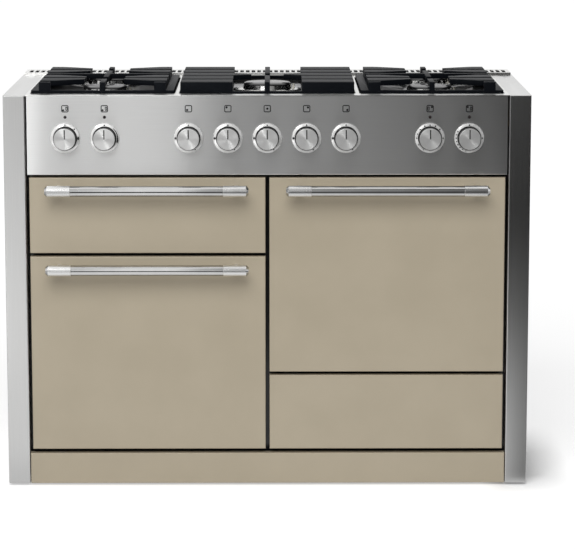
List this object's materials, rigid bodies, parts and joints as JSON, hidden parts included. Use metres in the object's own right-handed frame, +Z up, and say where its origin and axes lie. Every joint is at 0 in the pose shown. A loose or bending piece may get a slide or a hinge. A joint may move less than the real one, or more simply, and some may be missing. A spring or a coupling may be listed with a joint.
{
  "type": "range cooker",
  "caption": "Free-standing range cooker with gas hob, glide-out grill, drop-door ovens, storage drawer, bar handles and steel end panels.",
  "frame": {"origin": "on the floor, under the middle of the overall box", "axes": "+X to the right seen from the front, +Y to the back, +Z up"},
  "size_m": [1.208, 0.6627, 0.94],
  "materials": {
    "enamel": "gloss beige vitreous enamel on steel",
    "brushed_stainless": "brushed stainless steel",
    "turned_steel": "turned and spun-brushed metal",
    "black_enamel": "gloss black vitreous enamel",
    "cast_iron": "matt enamelled cast iron",
    "burner_alloy": "satin cast aluminium",
    "galvanised_steel": "galvanised sheet steel",
    "chrome_wire": "chromed wire",
    "brass": "bare brass and copper tube",
    "element_sheath": "oxidised heater sheath",
    "black_plastic": "black moulded plastic",
    "white_ceramic": "glazed ceramic",
    "seal_fibre": "woven oven seal",
    "red_lens": "red indicator lens, unlit"
  },
  "bodies": {
    "cooker": {"back_panel": "galvanised_steel", "back_panel_screws": "galvanised_steel", "burner_bases": "burner_alloy", "burner_caps": "black_enamel", "burner_crowns": "burner_alloy", "chassis": "galvanised_steel", "control_panel": "brushed_stainless", "door_seals": "seal_fibre", "fan_covers": "black_enamel", "fan_motors": "galvanised_steel", "front_frame": "black_enamel", "gas_inlet": "brass", "gas_pipework": "brass", "gas_taps": "brass", "grill_cavity": "black_enamel", "heating_elements": "element_sheath", "hinge_brackets": "galvanised_steel", "hob_top": "brushed_stainless", "igniters": "white_ceramic", "knob_bezels": "turned_steel", "left_end_panel": "brushed_stainless", "left_oven_cavity": "black_enamel", "levelling_feet": "galvanised_steel", "neon_lamps": "red_lens", "oven_switches": "black_plastic", "plinth": "enamel", "rack_supports": "chrome_wire", "rear_vent": "brushed_stainless", "right_end_panel": "brushed_stainless", "right_oven_cavity": "black_enamel", "slide_rails": "galvanised_steel", "terminal_box": "black_plastic"},
    "left_door": {"left_door_panel": "enamel", "left_door_liner": "black_enamel", "left_door_handle": "brushed_stainless"},
    "right_door": {"right_door_panel": "enamel", "right_door_liner": "black_enamel", "right_door_handle": "brushed_stainless"},
    "grill_unit": {"grill_front": "enamel", "grill_handle": "brushed_stainless", "grill_carriage": "galvanised_steel", "grill_pan": "black_enamel"},
    "storage_drawer": {"drawer_front": "enamel", "drawer_box": "galvanised_steel"},
    "left_pan_support": {"left_grate": "cast_iron"},
    "centre_pan_support": {"centre_grate": "cast_iron"},
    "right_pan_support": {"right_grate": "cast_iron"},
    "left_fan": {"left_oven_fan": "galvanised_steel"},
    "right_fan": {"right_oven_fan": "galvanised_steel"},
    "left_shelf": {"left_oven_shelf": "chrome_wire"},
    "right_shelf": {"right_oven_shelf": "chrome_wire"},
    "front_left_burner_control": {"front_left_burner_knob": "turned_steel"},
    "rear_left_burner_control": {"rear_left_burner_knob": "turned_steel"},
    "wok_burner_control": {"wok_burner_knob": "turned_steel"},
    "rear_right_burner_control": {"rear_right_burner_knob": "turned_steel"},
    "front_right_burner_control": {"front_right_burner_knob": "turned_steel"},
    "left_oven_selector_control": {"left_oven_selector_knob": "turned_steel"},
    "left_oven_thermostat_control": {"left_oven_thermostat_knob": "turned_steel"},
    "right_oven_thermostat_control": {"right_oven_thermostat_knob": "turned_steel"},
    "grill_control": {"grill_knob": "turned_steel"}
  },
  "joints": [
    {"name": "left_door_hinge", "type": "hinge", "parent": "cooker", "child": "left_door", "pos_m": [-0.2755, -0.26462, 0.0976], "axis": [1, 0, 0], "range_deg": [0, 90], "stiffness_Nm_per_rad": 8, "springref_deg": -20.05},
    {"name": "right_door_hinge", "type": "hinge", "parent": "cooker", "child": "right_door", "pos_m": [0.2755, -0.26462, 0.2806], "axis": [1, 0, 0], "range_deg": [0, 90], "stiffness_Nm_per_rad": 8, "springref_deg": -20.05},
    {"name": "grill_glide", "type": "slide", "parent": "cooker", "child": "grill_unit", "axis": [0, -1, 0], "range_m": [0, 0.3]},
    {"name": "drawer_slide", "type": "slide", "parent": "cooker", "child": "storage_drawer", "axis": [0, -1, 0], "range_m": [0, 0.36]},
    {"name": "left_pan_support_lift", "type": "slide", "parent": "cooker", "child": "left_pan_support", "axis": [0, 0, 1], "range_m": [0, 0.15]},
    {"name": "centre_pan_support_lift", "type": "slide", "parent": "cooker", "child": "centre_pan_support", "axis": [0, 0, 1], "range_m": [0, 0.15]},
    {"name": "right_pan_support_lift", "type": "slide", "parent": "cooker", "child": "right_pan_support", "axis": [0, 0, 1], "range_m": [0, 0.15]},
    {"name": "left_fan_spin", "type": "hinge", "parent": "cooker", "child": "left_fan", "pos_m": [-0.2755, 0.20638, 0.3146], "axis": [0, -1, 0], "continuous": true},
    {"name": "left_shelf_slide", "type": "slide", "parent": "cooker", "child": "left_shelf", "axis": [0, -1, 0], "range_m": [0, 0.015]},
    {"name": "right_fan_spin", "type": "hinge", "parent": "cooker", "child": "right_fan", "pos_m": [0.2755, 0.20638, 0.4976], "axis": [0, -1, 0], "continuous": true},
    {"name": "right_shelf_slide", "type": "slide", "parent": "cooker", "child": "right_shelf", "axis": [0, -1, 0], "range_m": [0, 0.015]},
    {"name": "front_left_burner_turn", "type": "hinge", "parent": "cooker", "child": "front_left_burner_control", "pos_m": [-0.18, -0.27663, 0.816], "axis": [0, -1, 0], "range_deg": [0, 210]},
    {"name": "rear_left_burner_turn", "type": "hinge", "parent": "cooker", "child": "rear_left_burner_control", "pos_m": [-0.09, -0.27663, 0.816], "axis": [0, -1, 0], "range_deg": [0, 210]},
    {"name": "wok_burner_turn", "type": "hinge", "parent": "cooker", "child": "wok_burner_control", "pos_m": [0, -0.27663, 0.816], "axis": [0, -1, 0], "range_deg": [0, 210]},
    {"name": "rear_right_burner_turn", "type": "hinge", "parent": "cooker", "child": "rear_right_burner_control", "pos_m": [0.09, -0.27663, 0.816], "axis": [0, -1, 0], "range_deg": [0, 210]},
    {"name": "front_right_burner_turn", "type": "hinge", "parent": "cooker", "child": "front_right_burner_control", "pos_m": [0.18, -0.27663, 0.816], "axis": [0, -1, 0], "range_deg": [0, 210]},
    {"name": "left_oven_selector_turn", "type": "hinge", "parent": "cooker", "child": "left_oven_selector_control", "pos_m": [-0.462, -0.27663, 0.816], "axis": [0, 1, 0], "range_deg": [0, 270]},
    {"name": "left_oven_thermostat_turn", "type": "hinge", "parent": "cooker", "child": "left_oven_thermostat_control", "pos_m": [-0.372, -0.27663, 0.816], "axis": [0, 1, 0], "range_deg": [0, 270]},
    {"name": "right_oven_thermostat_turn", "type": "hinge", "parent": "cooker", "child": "right_oven_thermostat_control", "pos_m": [0.372, -0.27663, 0.816], "axis": [0, 1, 0], "range_deg": [0, 270]},
    {"name": "grill_turn", "type": "hinge", "parent": "cooker", "child": "grill_control", "pos_m": [0.462, -0.27663, 0.816], "axis": [0, 1, 0], "range_deg": [0, 270]}
  ]
}
